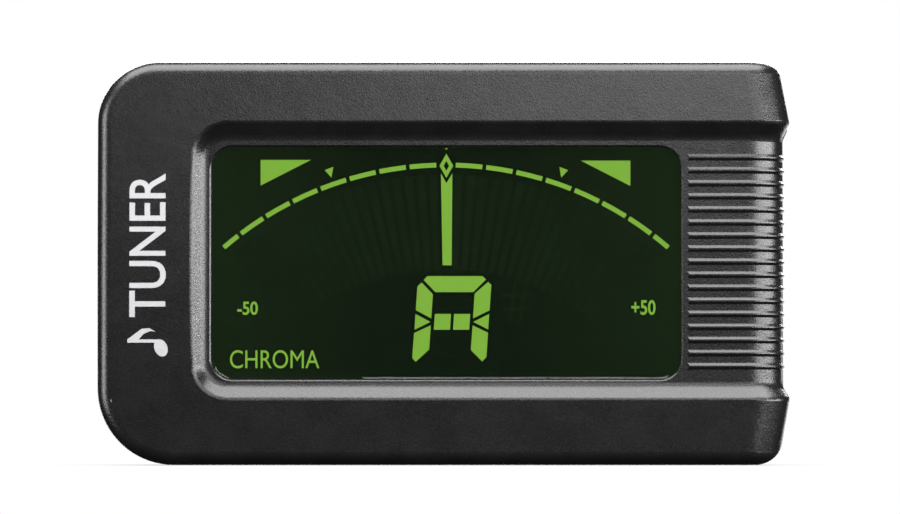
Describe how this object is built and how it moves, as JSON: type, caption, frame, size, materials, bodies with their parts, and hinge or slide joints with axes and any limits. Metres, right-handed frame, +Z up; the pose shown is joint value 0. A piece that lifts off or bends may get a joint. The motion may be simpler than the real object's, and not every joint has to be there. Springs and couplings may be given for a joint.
{
  "type": "clip on tuner",
  "caption": "Clip-on tuner for a guitar headstock: a black case with a sunk green-lit display and a ribbed thumb grip, and a sprung lever behind it that makes the jaw.",
  "frame": {"origin": "centre of the bounding box at the level of the long lower edge, which the tuner stands on", "axes": "+X along the length from the jaw to the thumb grip, +Z up across the display, the display faces -Y and the clip lever is on the +Y side"},
  "size_m": [0.06, 0.0252, 0.0349],
  "materials": {
    "housing_black": "fine-grained moulded black",
    "window_clear": "clear moulded window, satin-free",
    "tape_black": "black adhesive tape",
    "lcd_glass": "dark green liquid crystal cell, glossy",
    "display_marks": "lit yellow-green display segments",
    "marking_white": "printed pale grey marking",
    "frame_white": "moulded white",
    "guide_clear": "polished translucent",
    "strip_rubber": "silicone strip",
    "led_white": "moulded lamp body",
    "board_green": "solder mask",
    "chip_black": "moulded",
    "can_steel": "drawn can",
    "plunger_white": "moulded",
    "button_black": "smooth satin black",
    "pickup_brass": "rolled",
    "ceramic_white": "silvered ceramic",
    "wire_red": "insulated",
    "wire_black": "insulated",
    "contact_nickel": "nickel plated",
    "screw_black": "black oxide",
    "pad_rubber": "matt soft rubber",
    "pin_steel": "ground pin",
    "spring_steel": "drawn spring wire",
    "cell_steel": "stainless can"
  },
  "bodies": {
    "housing": {"front_cover": "housing_black", "rear_cover": "housing_black", "window_lens": "window_clear", "lens_tape": "tape_black", "lcd_panel": "lcd_glass", "lcd_frame": "frame_white", "light_guide": "guide_clear", "contact_strip": "strip_rubber", "backlight_leds": "led_white", "main_board": "board_green", "tuner_chip": "chip_black", "crystal": "can_steel", "board_parts": "chip_black", "power_switch": "chip_black", "mode_switch": "chip_black", "pitch_switch": "chip_black", "pickup_disc": "pickup_brass", "pickup_ceramic": "ceramic_white", "pickup_wire_red": "wire_red", "pickup_wire_black": "wire_black", "positive_contact": "contact_nickel", "negative_contact": "contact_nickel", "cover_screws": "screw_black", "housing_pad": "pad_rubber", "hinge_pin": "pin_steel", "torsion_spring": "spring_steel"},
    "lever": {"clip_lever": "housing_black", "lever_pad": "pad_rubber"},
    "battery_drawer": {"battery_tray": "housing_black", "coin_cell": "cell_steel"},
    "power_key": {"power_button": "button_black", "power_plunger": "plunger_white"},
    "mode_key": {"mode_button": "button_black", "mode_plunger": "plunger_white"},
    "pitch_key": {"pitch_button": "button_black", "pitch_plunger": "plunger_white"}
  },
  "joints": [
    {"name": "clip_pivot", "type": "hinge", "parent": "housing", "child": "lever", "pos_m": [0.009, 0.00435, 0.01745], "axis": [0, 0, -1], "range_deg": [0, 26], "stiffness_Nm_per_rad": 0.12, "springref_deg": -68.75, "deforming": ["torsion_spring"]},
    {"name": "battery_slide", "type": "slide", "parent": "housing", "child": "battery_drawer", "axis": [-1, 0, 0], "range_m": [0, 0.0215]},
    {"name": "power_press", "type": "slide", "parent": "housing", "child": "power_key", "axis": [0, 0, -1], "range_m": [0, 0.00035], "stiffness_N_per_m": 600, "springref_m": -0.0005},
    {"name": "mode_press", "type": "slide", "parent": "housing", "child": "mode_key", "axis": [0, 0, -1], "range_m": [0, 0.00035], "stiffness_N_per_m": 600, "springref_m": -0.0005},
    {"name": "pitch_press", "type": "slide", "parent": "housing", "child": "pitch_key", "axis": [0, 0, -1], "range_m": [0, 0.00035], "stiffness_N_per_m": 600, "springref_m": -0.0005}
  ]
}
